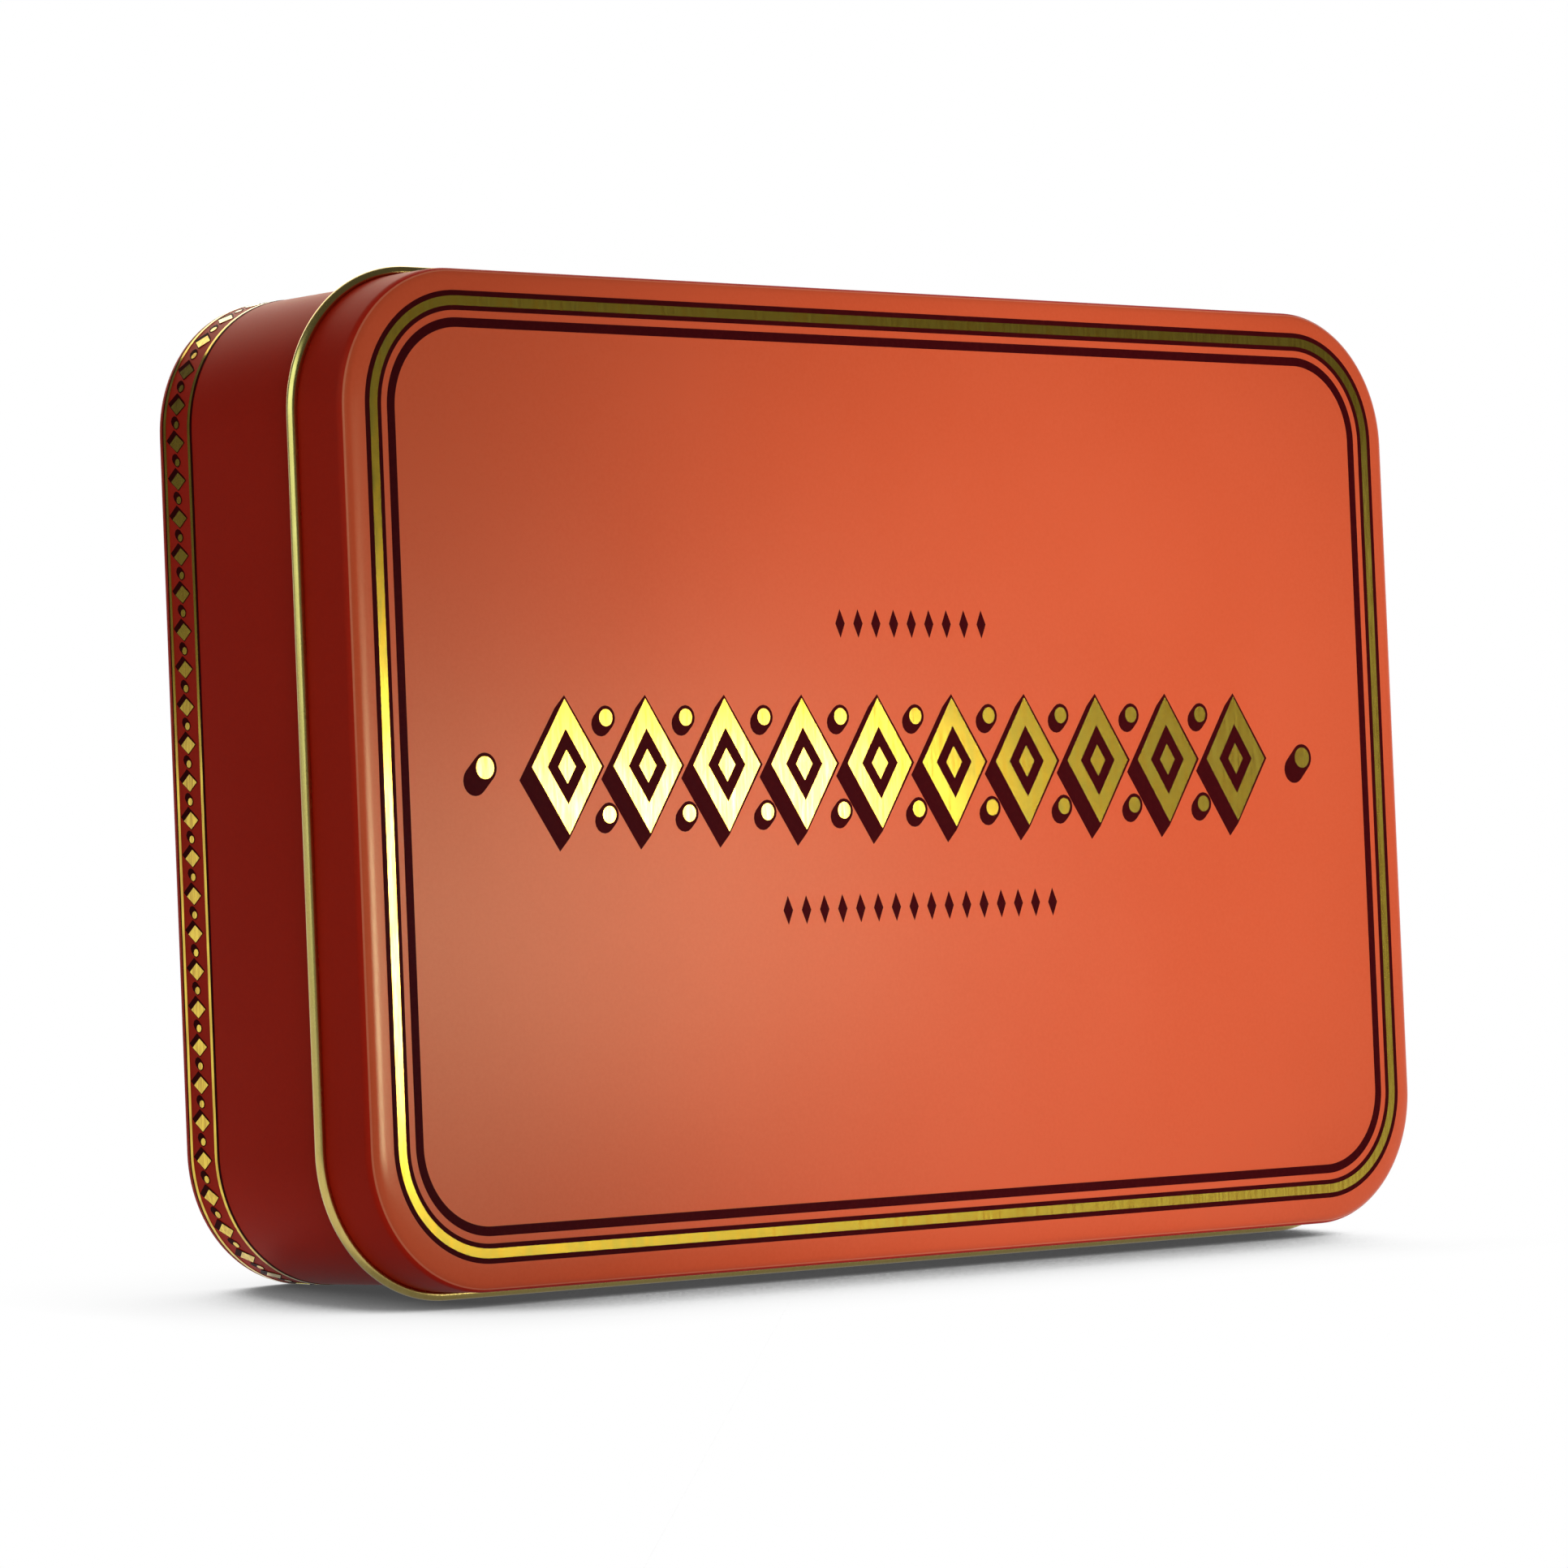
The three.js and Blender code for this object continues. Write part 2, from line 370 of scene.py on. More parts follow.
def carryRound():
    # four corner spins with a straight run after each, closed where it started
    bpy.ops.mesh.select_all(action="SELECT")
    corners = [(1, 1, (-2, 0)), (-1, 1, (0, -2)), (-1, -1, (2, 0)), (1, -1, (0, 2))]
    for signX, signZ, run in corners:
        bpy.ops.mesh.spin(
            steps=tin["cornerSteps"],
            angle=math.pi / 2,
            center=(signX * coreX * mm, 0, signZ * coreZ * mm),
            axis=(0, 1, 0),
        )
        bpy.ops.mesh.extrude_region_move(
            TRANSFORM_OT_translate={"value": (run[0] * coreX * mm, 0, run[1] * coreZ * mm)}
        )
    bpy.ops.mesh.select_all(action="SELECT")
    bpy.ops.mesh.remove_doubles(threshold=meshing["weld"] * mm)
    bpy.ops.mesh.normals_make_consistent(inside=False)


def sweepSheet(name, start, heading, bends, panel=None, turned=False):
    # panel is the depth of the flat sheet that closes a pan; turned says that a rolled edge,
    # not the skin, lies outermost, so the faces have to be turned round
    piece = startPiece(name)
    drawSection(start, heading, bends)
    carryRound()
    if panel is not None:
        halfX = (coreX + start[0] + meshing["margin"]) * mm
        halfZ = (coreZ + start[0] + meshing["margin"]) * mm
        level = meshing["level"] * mm
        selectPoints(
            piece,
            lambda p: abs(p.y - panel * mm) < level and abs(p.x) < halfX and abs(p.z) < halfZ,
        )
        bpy.ops.mesh.edge_face_add()
        bpy.ops.mesh.select_all(action="SELECT")
        bpy.ops.mesh.normals_make_consistent(inside=turned)
    bpy.ops.object.mode_set(mode="OBJECT")
    return piece


def applyModifier(piece, kind, **settings):
    bpy.context.view_layer.objects.active = piece
    modifier = piece.modifiers.new(kind.title(), kind)
    for name, value in settings.items():
        setattr(modifier, name, value)
    bpy.ops.object.modifier_apply(modifier=modifier.name)


def thicken(piece, thickness, innerSlot=0):
    # innerSlot is how many slots on the inside of the sheet lies from the outside
    applyModifier(
        piece, "SOLIDIFY",
        thickness=thickness * mm,
        offset=0,
        use_even_offset=True,
        material_offset=innerSlot,
        material_offset_rim=innerSlot,
    )


def giveMaterials(piece, *materials):
    for material in materials:
        piece.data.materials.append(material)


def standPiece(piece, body, slot, *nodes):
    # from the tin's own frame to where it stands, then hands the piece to the frame
    bpy.ops.object.select_all(action="DESELECT")
    piece.select_set(True)
    bpy.context.view_layer.objects.active = piece
    piece.matrix_world = standTin @ piece.matrix_world
    bpy.ops.object.transform_apply(location=True, rotation=True, scale=True)
    bpy.ops.object.shade_smooth_by_angle(angle=math.radians(meshing["smooth"]))
    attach(piece, body)
    if nodes:
        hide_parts(*nodes)


lid = {
    "depth": 9.75,
    "flat": 4,  # strip of the face outside the closing panel
    "soft": 8.0,  # radius of the face's margin
    "softTurn": 14,
    "fold": 1.3,
    "roll": 1.3,
    "rollTurn": -324,
    "highlightFrom": -0.735,  # where the band painted paler as a highlight and then the red start on the fold, by the y of its normal
    "redFrom": -0.61,
}


def makeLid():
    # the face bends over softly before the tight fold into the skirt
    turn = math.radians(lid["softTurn"])
    run = lid["soft"] * math.sin(turn) + lid["fold"] * (1 - math.sin(turn))
    drop = lid["soft"] * (1 - math.cos(turn)) + lid["fold"] * math.cos(turn)
    skirt = lid["depth"] - lid["roll"] / 2 - halfSheet - drop
    start = (tin["corner"] - halfSheet - run - lid["flat"], halfSheet)
    piece = sweepSheet(
        "lidShell", start, 0,
        [
            (lid["flat"], lid["soft"], lid["softTurn"]),
            (0, lid["fold"], 90 - lid["softTurn"]),
            (skirt, lid["roll"] / 2 - halfSheet, lid["rollTurn"]),
        ],
        panel=halfSheet,
        turned=True,
    )
    # the face's orange, a band painted paler as a highlight along the fold, then the sides' red,
    # which is partly painted shade
    outside = (orangePrint, paintedFoldHighlight, sideRedWithShade)
    giveMaterials(piece, *outside, *[goldSheet] * len(outside))
    for face in piece.data.polygons:  # the skirt is red from the middle of the fold, partly print and partly painted shade, after a band painted paler as a highlight
        y = face.normal.y
        face.material_index = (y > lid["highlightFrom"]) + (y > lid["redFrom"])
    thicken(piece, tin["sheet"], len(outside))
    standPiece(piece, "lid", "lid_print", "lid")


wall = {"mouthGap": 0.35, "mouthRoll": 1.8, "mouthTurn": 252, "heel": 1.5, "flange": 3.5}


def makeWall():
    mouth = wall["mouthRoll"] / 2
    mouthDepth = tin["sheet"] + wall["mouthGap"] + mouth
    turn = math.radians(wall["mouthTurn"])
    start = (
        bodyReach - mouth + (mouth - halfSheet) * math.cos(turn),
        mouthDepth - (mouth - halfSheet) * math.sin(turn),
    )
    piece = sweepSheet(
        "wallShell", start, 90 - wall["mouthTurn"],
        [
            (0, mouth - halfSheet, wall["mouthTurn"]),
            (tin["depth"] - wall["heel"] - mouthDepth, wall["heel"] - halfSheet, 90),
            (wall["flange"] - wall["heel"], 0, 0),
        ],
    )
    # the wall's deeper red is partly print and partly painted shade
    giveMaterials(piece, sideRedWithShade, goldSheet)
    thicken(piece, tin["sheet"], 1)
    standPiece(piece, "base", "wall_print", "body_wall")


seam = {"width": 5, "thickness": 0.6, "near": 2.75, "far": 32.6, "round": 0.15, "roundSteps": 2}


def makeSeam():
    # where the two ends of the wall hook together, folded flat inside the top
    bpy.ops.object.select_all(action="DESELECT")
    bpy.ops.mesh.primitive_cube_add(size=mm)
    piece = bpy.context.active_object
    piece.name = "wallSeam"
    piece.data.name = "wallSeam"
    thickness = seam["thickness"] + halfSheet
    piece.scale = (seam["width"], seam["far"] - seam["near"], thickness)
    top = coreZ + bodyReach - halfSheet
    middle = (seam["near"] + seam["far"]) / 2
    piece.location = Vector((0, middle, top - thickness / 2)) * mm
    bpy.ops.object.transform_apply(location=True, scale=True)
    applyModifier(piece, "BEVEL", width=seam["round"] * mm, segments=seam["roundSteps"])
    giveMaterials(piece, goldSheet)
    standPiece(piece, "base", "wall_print")


bottom = {
    "flat": 4,
    "land": 7,
    "step": 1.5,
    "stepRun": 1.6,
    "stepBend": 0.7,
    "stepTurn": 60,
    "rim": 3.2,
}


def makeBottom():
    turn = math.radians(bottom["stepTurn"])
    rise = bottom["step"] - 2 * bottom["stepBend"] * (1 - math.cos(turn))
    slope = rise / math.sin(turn)
    bend = wall["heel"] - tin["sheet"] - tin["panelGap"] - halfSheet
    inner = panelReach - bottom["land"] - bottom["stepRun"]
    run = 2 * bottom["stepBend"] * math.sin(turn) + slope * math.cos(turn)
    start = (inner - bottom["flat"], panelBack - halfSheet - bottom["step"])
    piece = sweepSheet(
        "bottomShell", start, 0,
        [
            (bottom["flat"], bottom["stepBend"], bottom["stepTurn"]),
            (slope, bottom["stepBend"], -bottom["stepTurn"]),
            (panelReach - halfSheet - bend - inner - run, bend, -90),
            (bottom["rim"] - halfSheet - bend, 0, 0),
        ],
        panel=start[1],
    )
    giveMaterials(piece, goldSheet)
    thicken(piece, tin["sheet"])
    standPiece(piece, "base", "gold_lacquer", "bottom_panel")


makeLid()
makeWall()
makeSeam()
makeBottom()
print("sheet metal made")


# Print: thin films that lie on the sheet, so their edges stay sharp

film = {"ink": 0.03, "gold": 0.06, "sink": 0.02, "rise": 0.29}  # the print sits a little high
films = {"ink": maroonInk, "gold": goldFoil}
motifSides = {"lozenge": 4, "pellet": 16, "endDot": 24, "bandDot": 8}
border = {
    "innerReach": 9.5,
    "ink": [(0.0, 1.1), (1.94, 2.5), (3.6, 4.22)],
    "gold": [(2.5, 3.6)],
}


def makeFaceRing(name, inner, outer, height):
    start = (border["innerReach"] + inner, (film["sink"] - height) / 2)
    piece = sweepSheet(name, start, 0, [(outer - inner, 0, 0)])
    thicken(piece, height + film["sink"])
    piece.location.z = film["rise"] * mm
    bpy.context.view_layer.update()
    return piece


def makeBorder():
    for kind, material in films.items():
        for number, (inner, outer) in enumerate(border[kind], 1):
            piece = makeFaceRing(f"border{kind.title()}{number}", inner, outer, film[kind])
            giveMaterials(piece, material)
            standPiece(piece, "lid", "lid_print")


def joinPieces(name, pieces):
    bpy.ops.object.select_all(action="DESELECT")
    for piece in pieces:
        piece.select_set(True)
    bpy.context.view_layer.objects.active = pieces[0]
    bpy.ops.object.join()
    joined = bpy.context.active_object
    bpy.ops.object.transform_apply(location=True, rotation=True, scale=True)
    joined.name = name
    joined.data.name = name
    return joined


def copyPiece(source, place):
    copy = source.copy()
    copy.data = source.data.copy()
    copy.matrix_world = place
    bpy.context.collection.objects.link(copy)
    return copy


def cutFilm(name, sides, width, height, thickness, hole=0.0):
    # a lozenge (4 sides) or a dot, facing front, with a hole of its own shape if it has one
    bpy.ops.object.select_all(action="DESELECT")
    bpy.ops.mesh.primitive_circle_add(
        vertices=sides, radius=mm / 2, fill_type="NOTHING", rotation=(math.pi / 2, 0, 0)
    )
    piece = bpy.context.active_object
    piece.name = name
    piece.scale = (width, height, 1)
    bpy.ops.object.transform_apply(rotation=True, scale=True)
    bpy.ops.object.mode_set(mode="EDIT")
    bpy.ops.mesh.select_all(action="SELECT")
    if hole:
        bpy.ops.mesh.extrude_region_move()
        bpy.ops.transform.resize(value=(hole, 1, hole), center_override=(0, 0, 0))
    else:
        bpy.ops.mesh.edge_face_add()
    bpy.ops.mesh.select_all(action="SELECT")
    bpy.ops.transform.translate(value=(0, (film["sink"] - thickness) / 2 * mm, 0))
    bpy.ops.mesh.normals_make_consistent(inside=False)
    bpy.ops.object.mode_set(mode="OBJECT")
    thicken(piece, thickness + film["sink"])
    return piece


def castShadow(name, sides, width, height, outline, drop):
    # the dark drop shadow under a gold motif: its outline carried down to the left
    piece = cutFilm(name, sides, width + 2 * outline, height + 2 * outline, film["ink"])
    bpy.ops.object.mode_set(mode="EDIT")
    bpy.ops.mesh.select_all(action="SELECT")
    bpy.ops.mesh.duplicate_move(TRANSFORM_OT_translate={"value": (-drop * mm, 0, -drop * mm)})
    bpy.ops.mesh.select_all(action="SELECT")
    bpy.ops.mesh.convex_hull()
    bpy.ops.object.mode_set(mode="OBJECT")
    return piece


def scatterMotif(sides, width, height, outline, drop, places, hole=0.0):
    # one motif modelled once and copied; gives the gold copies and the ink copies
    gold = cutFilm("motifGold", sides, width, height, film["gold"], hole)
    ink = castShadow("motifInk", sides, width, height, outline, drop)
    copies = [[copyPiece(source, place) for place in places] for source in (gold, ink)]
    bpy.data.objects.remove(gold)
    bpy.data.objects.remove(ink)
    return copies


def onFace(x, z):
    return Matrix.Translation((x * mm, 0, (z + film["rise"]) * mm))


frieze = {
    "lozenges": 10,
    "pitch": 12.2,
    "width": 10.4,
    "height": 15.6,
    "hole": 0.56,
    "heart": (2.6, 3.9),
    "heartEdge": (0.0, 0.01),  # no shadow shows beside it
    "pellet": 2.0,
    "pelletRise": 5.6,
    "endDot": 2.6,
    "endPlace": 67.0,
    "middle": 0.9,
    "outline": 0.42,
    "drop": 1.5,
}


def makeFrieze():
    first = -(frieze["lozenges"] - 1) / 2 * frieze["pitch"]
    columns = [first + number * frieze["pitch"] for number in range(frieze["lozenges"])]
    gaps = [x + frieze["pitch"] / 2 for x in columns[:-1]]
    middle = frieze["middle"]
    edge = (frieze["outline"], frieze["drop"])
    centres = [onFace(x, middle) for x in columns]
    lozenges = scatterMotif(
        motifSides["lozenge"], frieze["width"], frieze["height"], *edge, centres, frieze["hole"]
    )
    hearts = scatterMotif(
        motifSides["lozenge"], *frieze["heart"], *frieze["heartEdge"], centres
    )
    pellets = scatterMotif(
        motifSides["pellet"], frieze["pellet"], frieze["pellet"], edge[0], edge[1] / 2,
        [onFace(x, middle + side * frieze["pelletRise"]) for x in gaps for side in (-1, 1)],
    )
    dots = scatterMotif(
        motifSides["endDot"], frieze["endDot"], frieze["endDot"], *edge,
        [onFace(side * frieze["endPlace"], middle) for side in (-1, 1)],
    )
    for number, kind in enumerate(("gold", "ink")):
        parts = lozenges[number] + hearts[number] + pellets[number] + dots[number]
        piece = joinPieces(f"frieze{kind.title()}", parts)
        giveMaterials(piece, films[kind])
        standPiece(piece, "lid", "lid_print")


smallRows = {
    "upper": {"count": 9, "z": 17.6},
    "lower": {"count": 16, "z": -16.4},
    "pitch": 2.9,
    "size": (1.5, 3.4),
}


def makeSmallRows():
    # a short row of ink lozenges above the frieze and a longer one below
    source = cutFilm("rowLozenge", motifSides["lozenge"], *smallRows["size"], film["ink"])
    copies = []
    for row in (smallRows["upper"], smallRows["lower"]):
        for number in range(row["count"]):
            x = (number - (row["count"] - 1) / 2) * smallRows["pitch"]
            copies.append(copyPiece(source, onFace(x, row["z"])))
    bpy.data.objects.remove(source)
    piece = joinPieces("smallRowsInk", copies)
    giveMaterials(piece, maroonInk)
    standPiece(piece, "lid", "lid_print")


band = {
    "ink": [(34.9, 35.15), (29.5, 29.85)],
    "gold": [(34.45, 34.9), (29.85, 30.3)],
    "middle": 32.4,
    "lozenge": (2.0, 2.7),
    "dot": 0.9,
    "count": 124,
    "outline": 0.12,
    "drop": 0.5,
}


def roundWall(share):
    # a point on the wall's outer face at this share of the way round, with the way out from it
    radius = bodyReach
    quarter = radius * math.pi / 2
    runs = [
        (2 * coreX, (1, 0), (0, 1)),
        (quarter, (1, 1), None),
        (2 * coreZ, (0, -1), (1, 0)),
        (quarter, (1, -1), None),
        (2 * coreX, (-1, 0), (0, -1)),
        (quarter, (-1, -1), None),
        (2 * coreZ, (0, 1), (-1, 0)),
        (quarter, (-1, 1), None),
    ]
    left = share * sum(run[0] for run in runs)
    for length, way, out in runs:
        if left > length:
            left -= length
            continue
        if out:
            along = left - length / 2
            x = way[0] * along + out[0] * (coreX + radius)
            z = way[1] * along + out[1] * (coreZ + radius)
            return Vector((x, 0, z)), Vector((out[0], 0, out[1]))
        begin = {(1, 1): 90, (1, -1): 0, (-1, -1): -90, (-1, 1): 180}[way]
        angle = math.radians(begin) - left / radius
        outward = Vector((math.cos(angle), 0, math.sin(angle)))
        return Vector((way[0] * coreX, 0, way[1] * coreZ)) + radius * outward, outward


def onWall(share, depth):
    point, outward = roundWall(share)
    up = Vector((0, -1, 0))
    along = outward.cross(-up)
    turn = Matrix((along, -outward, up)).transposed().to_4x4()
    return Matrix.Translation((point + Vector((0, depth, 0))) * mm) @ turn


def makeWallBand():
    for kind, material in films.items():
        for number, (near, far) in enumerate(band[kind], 1):
            start = (bodyReach + (film[kind] - film["sink"]) / 2, near)
            piece = sweepSheet(f"band{kind.title()}{number}", start, 90, [(far - near, 0, 0)])
            thicken(piece, film[kind] + film["sink"])
            giveMaterials(piece, material)
            standPiece(piece, "base", "wall_print")
    shares = [number / band["count"] for number in range(band["count"])]
    half = 0.5 / band["count"]
    edge = (band["outline"], band["drop"])
    lozenges = scatterMotif(
        motifSides["lozenge"], *band["lozenge"], *edge,
        [onWall(share, band["middle"]) for share in shares],
    )
    dots = scatterMotif(
        motifSides["bandDot"], band["dot"], band["dot"], *edge,
        [onWall(share + half, band["middle"]) for share in shares],
    )
    for number, kind in enumerate(("gold", "ink")):
        piece = joinPieces(f"bandMotif{kind.title()}", lozenges[number] + dots[number])
        giveMaterials(piece, films[kind])
        standPiece(piece, "base", "wall_print")


makeBorder()
makeFrieze()
makeSmallRows()
makeWallBand()
print("print made")


# Firelighters: short lengths of twisted wood-wool rope, standing on end on the bottom

rope = {
    "columns": 6,
    "rows": 4,
    "columnPitch": 26.5,
    "rowPitch": 26.3,
    "lowest": -43.3,
    "depth": 21.0,
    "length": 26,
    "radius": 12.3,
    "strand": 0.42,
    "points": 8,  # along each strand
    "kinds": 4,
    "kindStep": 3,  # keeps like ropes apart
    "seed": 31,
}
ropeCore = {"radius": 11.2, "sides": 24, "shorter": 2, "round": 2.2, "roundSteps": 3}
sideStrands = {
    "count": 72,
    "angleSpread": 0.06,
    "twist": 0.4 * math.pi,
    "twistSpread": (0.75, 1.25),
    "lobes": 4,
    "lobeDepth": 0.55,
    "lobeTurn": 0.1,
    "sway": (0.1, 0.5),
    "swayTurn": 5,
    "depth": (-0.5, 0.15),
    "tuck": 1.6,  # how far the front ends are drawn in
    "tuckShare": 0.14,
    "lengthShare": 0.98,
}
endStrands = {
    "count": 110,
    "innermost": 0.8,
    "margin": 1.2,
    "arc": (5, 15),
    "arcReach": 3,  # nearer the middle an arc turns no faster
    "drift": 2.2,
    "front": (0.4, 1.5),
    "closest": 0.4,
    "edge": 0.7,
    "endDip": 1.6,
    "edgeDip": 0.9,
}


def addStrand(curve, points):
    strand = curve.splines.new("POLY")
    strand.points.add(len(points) - 1)
    for target, point in zip(strand.points, points):
        target.co = (*(point * mm), 1)


def laySideStrands(curve, steps, chance):
    # laid along the rope in loose lobes, their front ends drawn in
    for number in range(sideStrands["count"]):
        angle = 2 * math.pi * number / sideStrands["count"]
        angle += chance.uniform(-sideStrands["angleSpread"], sideStrands["angleSpread"])
        turn = sideStrands["twist"] * chance.uniform(*sideStrands["twistSpread"])
        sway = chance.uniform(*sideStrands["sway"])
        phase = chance.uniform(0, 2 * math.pi)
        depth = chance.uniform(*sideStrands["depth"])
        points = []
        for step in steps:
            lobeAngle = sideStrands["lobes"] * (angle - sideStrands["lobeTurn"] * step)
            lobe = sideStrands["lobeDepth"] * math.cos(lobeAngle)
            tuck = sideStrands["tuck"] * max(0.0, 1 - step / sideStrands["tuckShare"])
            wave = sway * math.sin(phase + sideStrands["swayTurn"] * step)
            reach = rope["radius"] + depth + lobe + wave - tuck
            here = angle + turn * step
            along = (step - 0.5) * rope["length"] * sideStrands["lengthShare"]
            points.append(Vector((reach * math.cos(here), along, reach * math.sin(here))))
        addStrand(curve, points)


def layEndStrands(curve, steps, chance):
    # swirled over the front end, dipping at their own ends and at the rope's edge
    for number in range(endStrands["count"]):
        reach = chance.uniform(endStrands["innermost"], rope["radius"] - endStrands["margin"])
        angle = chance.uniform(0, 2 * math.pi)
        sweep = chance.uniform(*endStrands["arc"]) / max(reach, endStrands["arcReach"])
        drift = chance.uniform(-endStrands["drift"], endStrands["drift"])
        front = -rope["length"] / 2 + chance.uniform(*endStrands["front"])
        points = []
        for step in steps:
            here = angle + sweep * step
            away = max(reach + drift * step, endStrands["closest"])
            away = min(away, rope["radius"] - endStrands["edge"])
            endDip = endStrands["endDip"] * (2 * step - 1) ** 4
            edgeDip = endStrands["edgeDip"] * (away / rope["radius"]) ** 4
            along = front + (endDip + edgeDip)
            points.append(Vector((away * math.cos(here), along, away * math.sin(here))))
        addStrand(curve, points)


def makeRope(name, chance):
    # a round core with loose strands over its side and its front end
    bpy.ops.object.select_all(action="DESELECT")
    bpy.ops.mesh.primitive_cylinder_add(
        vertices=ropeCore["sides"],
        radius=ropeCore["radius"] * mm,
        depth=(rope["length"] - ropeCore["shorter"]) * mm,
        rotation=(math.pi / 2, 0, 0),
    )
    core = bpy.context.active_object
    bpy.ops.object.transform_apply(rotation=True)
    applyModifier(
        core, "BEVEL",
        width=ropeCore["round"] * mm,
        segments=ropeCore["roundSteps"],
        limit_method="ANGLE",
    )
    curve = bpy.data.curves.new(name, "CURVE")
    curve.dimensions = "3D"
    curve.bevel_depth = rope["strand"] * mm
    curve.bevel_resolution = 0
    curve.use_fill_caps = True
    steps = [number / (rope["points"] - 1) for number in range(rope["points"])]
    laySideStrands(curve, steps, chance)
    layEndStrands(curve, steps, chance)
    strands = bpy.data.objects.new(name, curve)
    bpy.context.collection.objects.link(strands)
    bpy.ops.object.select_all(action="DESELECT")
    strands.select_set(True)
    bpy.context.view_layer.objects.active = strands
    bpy.ops.object.convert(target="MESH")
    giveMaterials(core, woodWool)
    giveMaterials(strands, woodWool)
    return joinPieces(name, [strands, core])


def makeFirelighters():
    chance = random.Random(rope["seed"])
    kinds = [makeRope(f"ropeKind{number}", chance) for number in range(rope["kinds"])]
    for row in range(rope["rows"]):
        for column in range(rope["columns"]):
            number = row * rope["columns"] + column + 1
            x = (column - (rope["columns"] - 1) / 2) * rope["columnPitch"]
            z = rope["lowest"] + row * rope["rowPitch"]
            place = Matrix.Translation(Vector((x, rope["depth"], z)) * mm)
            spin = Matrix.Rotation(chance.uniform(0, 2 * math.pi), 4, "Y")
            kind = kinds[(number * rope["kindStep"] + row) % rope["kinds"]]
            piece = copyPiece(kind, place @ spin)
            piece.name = f"woodWoolRope{number:02d}"
            piece.data.name = piece.name
            bpy.context.view_layer.update()
            standPiece(piece, "base", "wood_wool", f"firelighter_{number:02d}")
    for kind in kinds:
        bpy.data.objects.remove(kind)


makeFirelighters()
print("firelighters made")


# Studio: pale floor, soft lamps and the photograph's viewpoint

camera = {
    "place": (-0.52403, -0.58011, 0.07319),
    "forward": (0.66653, 0.74522, -0.0195),
    "roll": 0.134,
    "lens": 146.46,
    "sensor": 36,
}


def makeCamera():
    data = bpy.data.cameras.new("photoCamera")
    data.sensor_width = camera["sensor"]
    data.lens = camera["lens"]
    eye = bpy.data.objects.new("photoCamera", data)
    turn = Vector(camera["forward"]).to_track_quat("-Z", "Y")
    eye.rotation_mode = "QUATERNION"
    eye.rotation_quaternion = turn @ Quaternion((0, 0, 1), math.radians(camera["roll"]))
    eye.location = camera["place"]
    bpy.context.collection.objects.link(eye)
    bpy.context.scene.camera = eye


# gloss says whether a lamp shows in reflections, lights whether it brightens. The spots, the
# fill and the lamp overhead only brighten, the strips and cards in front and at the sides
# only show in the gold, the rim and the folds, and the softbox behind does both.
tinMiddle = (0, 0, 0.06)
lamps = {
    "keySpot": {
        "kind": "SPOT", "place": (0.3, -1.0, 0.22), "aim": (0.027, 0, 0.056),
        "size": 0.03, "cone": 12.6, "watts": 23.5, "gloss": False,
    },
    "fillSpot": {
        "kind": "SPOT", "place": (0.3, -1.0, 0.22), "aim": tinMiddle,
        "size": 0.1, "cone": 44, "watts": 2.5, "gloss": False,
    },
    "frontFill": {
        "kind": "AREA", "place": (-0.25, -1.1, 0.11), "aim": tinMiddle,
        "size": (1.0, 0.13), "watts": 3.25, "gloss": False,
    },
    "frontSpot": {
        "kind": "AREA", "place": (0.717, -0.953, 0.115), "aim": tinMiddle,
        "size": (0.2, 0.1), "watts": 0.88, "lights": False,
    },
    "frontStrip": {
        "kind": "AREA", "place": (0.22, -1.1, 0.1), "aim": tinMiddle,
        "size": (0.14, 0.12), "watts": 3.0, "lights": False,
    },
    "frontGlow": {
        "kind": "AREA", "place": (0.45, -1.1, 0.1), "aim": tinMiddle,
        "size": (0.32, 0.12), "watts": 1.7, "lights": False,
    },
    "leftCard": {
        "kind": "AREA", "place": (-0.85, -0.2, 0.52), "aim": (0, -0.2, 0.52),
        "size": (1.6, 0.78), "watts": 8.6, "colour": "#DCF6F4", "lights": False,
    },
    "rightCard": {
        "kind": "AREA", "place": (0.98, -0.92, 0.125), "aim": (0.04, 0, 0.06),
        "size": (0.9, 0.25), "watts": 0.15, "lights": False,
    },
    "overhead": {
        "kind": "AREA", "place": (0.1, 0.45, 1.1), "aim": (0, 0, 0),
        "size": (1.0, 0.9), "watts": 3.0, "gloss": False,
    },
    "backSoftbox": {
        "kind": "AREA", "place": (0.2, 0.7, 0.5), "aim": tinMiddle,
        "size": (0.75, 0.75), "watts": 2.8, "colour": "#FFF0CC",
    },
}


def makeLamps():
    for name, lamp in lamps.items():
        data = bpy.data.lights.new(name, lamp["kind"])
        data.energy = lamp["watts"]
        data.color = hexColour(lamp.get("colour", "#FFFFFF"))[:3]
        if lamp["kind"] == "SPOT":
            data.shadow_soft_size = lamp["size"]
            data.spot_size = math.radians(lamp["cone"])
            data.spot_blend = 1.0
        else:
            data.shape = "RECTANGLE"
            data.size, data.size_y = lamp["size"]
        light = bpy.data.objects.new(name, data)
        light.location = lamp["place"]
        toward = Vector(lamp["aim"]) - Vector(lamp["place"])
        light.rotation_mode = "QUATERNION"
        light.rotation_quaternion = toward.to_track_quat("-Z", "Y")
        light.visible_glossy = lamp.get("gloss", True)
        light.visible_diffuse = lamp.get("lights", True)
        light.visible_camera = False
        bpy.context.collection.objects.link(light)


def findMirrored(tree, path):
    # 1 for what metal or glass shows, else 0
    return addNode(
        tree, "ShaderNodeMath",
        {0: path.outputs["Is Glossy Ray"], 1: path.outputs["Is Transmission Ray"]},
        operation="MAXIMUM",
    ).outputs[0]


white = (1, 1, 1, 1)
room = {
    "dim": (0.1, 0.1, 0.1, 1),
    "behind": (0.62, 0.69, -0.37),  # where the backdrop hangs, seen from the tin
    "edge": (0.35, 0.6),
}


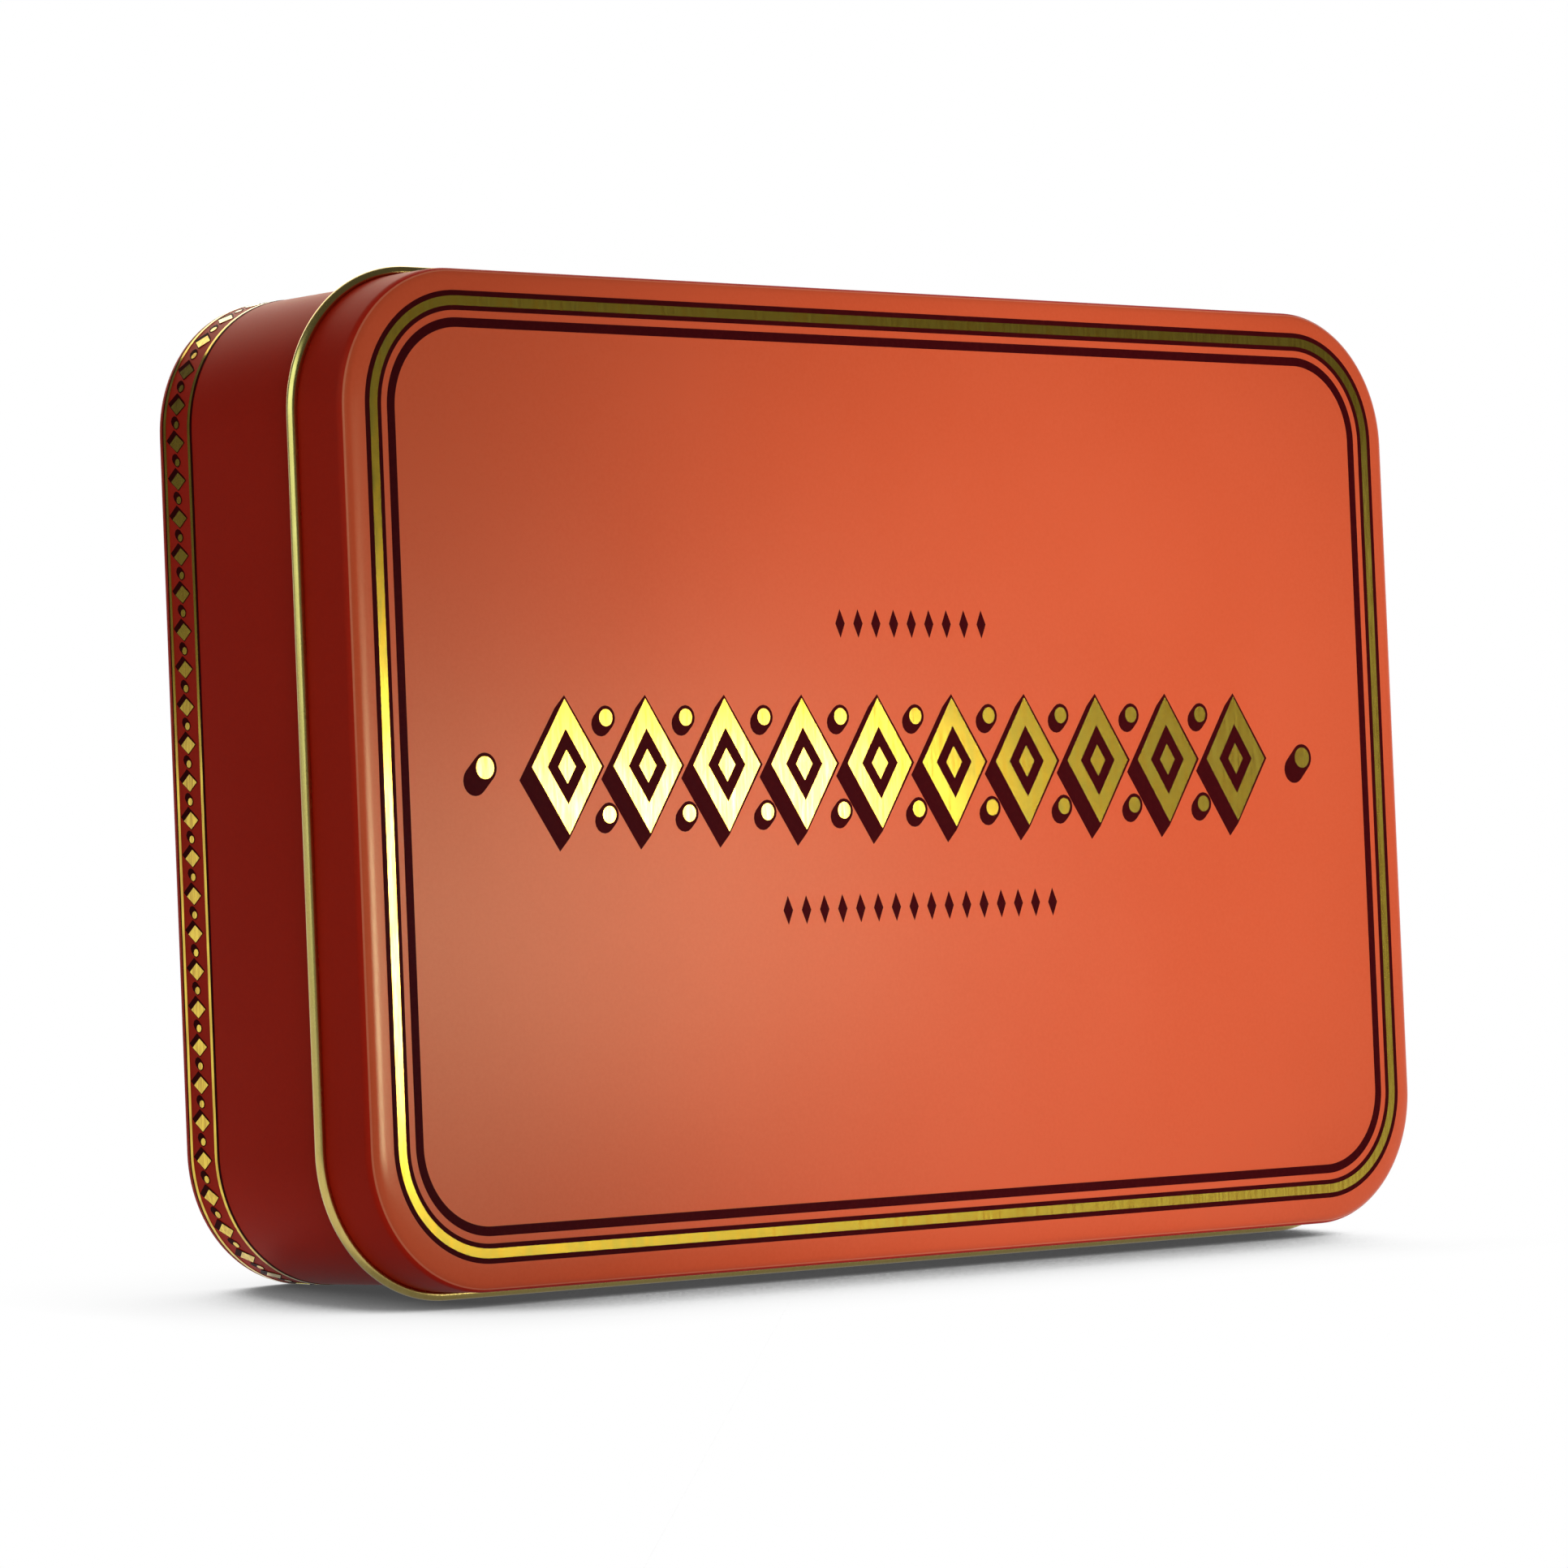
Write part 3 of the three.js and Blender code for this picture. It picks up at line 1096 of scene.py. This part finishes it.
def makeRoom():
    # the camera sees a white backdrop; metal mirrors it where it hangs, and elsewhere a dim room
    world = bpy.data.worlds.new("studioRoom")
    bpy.context.scene.world = world
    world.use_nodes = True
    tree = world.node_tree
    tree.nodes.clear()
    path = addNode(tree, "ShaderNodeLightPath")
    mirrored = findMirrored(tree, path)
    way = addNode(tree, "ShaderNodeTexCoord").outputs["Generated"]
    toward = addNode(
        tree, "ShaderNodeVectorMath", {0: way, 1: room["behind"]}, operation="DOT_PRODUCT"
    )
    outer, inner = room["edge"]
    backdrop = addNode(
        tree, "ShaderNodeMapRange",
        {"Value": toward.outputs["Value"], "From Min": outer, "From Max": inner},
    )
    seen = addNode(
        tree, "ShaderNodeMath",
        {0: mirrored, 1: backdrop.outputs["Result"], 2: path.outputs["Is Camera Ray"]},
        operation="MULTIPLY_ADD",
    )
    tone = addNode(
        tree, "ShaderNodeMix",
        {"Factor": seen.outputs[0], 6: room["dim"], 7: white},
        data_type="RGBA",
    )
    light = addNode(tree, "ShaderNodeBackground", {"Color": tone.outputs[2], "Strength": 1.0})
    addNode(tree, "ShaderNodeOutputWorld", {"Surface": light.outputs["Background"]})


floor = {
    "size": 12,
    "colour": "#EDEDED",
    "roughness": 0.9,
    "reach": 0.03,
    "samples": 16,
    "ways": [(-0.8, 0.3, 0.52), (0.8, 0.3, 0.52)],
    "rightShare": 0.5,
    "rightGain": 1.4,
    "mirrorLift": 0.22,
    "tones": [  # how open the floor is, and how pale it looks there
        (0.33, 0.06), (0.45, 0.115), (0.55, 0.165), (0.6, 0.225), (0.635, 0.38), (0.67, 0.57),
        (0.71, 0.75), (0.75, 0.85), (0.8, 0.9), (0.85, 0.94), (0.93, 0.98), (1.0, 1.0),
    ],
}


def makeFloor():
    # a pale sheet; the camera sees it white, with a neutral shadow where the tin is close
    bpy.ops.object.select_all(action="DESELECT")
    bpy.ops.mesh.primitive_plane_add(size=floor["size"])
    piece = bpy.context.active_object
    piece.name = "floor"
    material, tree, shader, place = newMaterial("paleStudioFloor")
    shader.inputs["Base Color"].default_value = hexColour(floor["colour"])
    shader.inputs["Roughness"].default_value = floor["roughness"]
    shader.inputs["Specular IOR Level"].default_value = 0.0
    path = addNode(tree, "ShaderNodeLightPath")
    mirrored = findMirrored(tree, path)
    seen = addNode(
        tree, "ShaderNodeMath",
        {0: path.outputs["Is Camera Ray"], 1: mirrored},
        operation="MAXIMUM",
    )
    # how open the floor is to the two sides; light comes over it mostly from the right
    openness = []
    for way in floor["ways"]:
        facing = addNode(tree, "ShaderNodeCombineXYZ", {"X": way[0], "Y": way[1], "Z": way[2]})
        clear = addNode(
            tree, "ShaderNodeAmbientOcclusion",
            {"Distance": floor["reach"], "Normal": facing.outputs["Vector"]},
            samples=floor["samples"],
        )
        openness.append(clear.outputs["AO"])
    left, right = openness
    both = addNode(
        tree, "ShaderNodeMix",
        {"Factor": floor["rightShare"], "A": left, "B": right},
        data_type="FLOAT",
    )
    excess = addNode(
        tree, "ShaderNodeMath", {0: right, 1: left}, operation="SUBTRACT", use_clamp=True
    )
    lit = addNode(
        tree, "ShaderNodeMath",
        {0: excess.outputs[0], 1: floor["rightGain"], 2: both.outputs["Result"]},
        operation="MULTIPLY_ADD",
    )
    shadow = addNode(
        tree, "ShaderNodeValToRGB", {"Fac": lit.outputs[0]},
        stops=[(position, (tone, tone, tone, 1)) for position, tone in floor["tones"]],
    )
    # metal mirrors the shadow a little paler, since light gets in under the rim
    lift = addNode(
        tree, "ShaderNodeMath", {0: mirrored, 1: floor["mirrorLift"]}, operation="MULTIPLY"
    )
    tone = addNode(
        tree, "ShaderNodeMix",
        {"Factor": lift.outputs[0], 6: shadow.outputs["Color"], 7: white},
        data_type="RGBA",
    )
    glow = addNode(tree, "ShaderNodeEmission", {"Color": tone.outputs[2], "Strength": 1.0})
    sheet = addNode(
        tree, "ShaderNodeMixShader",
        {0: seen.outputs[0], 1: shader.outputs[0], 2: glow.outputs[0]},
    )
    output = next(node for node in tree.nodes if node.type == "OUTPUT_MATERIAL")
    tree.links.new(sheet.outputs[0], output.inputs["Surface"])
    giveMaterials(piece, material)


makeCamera()
makeLamps()
makeRoom()
makeFloor()
bpy.context.scene.view_settings.view_transform = "Standard"
print("studio made")
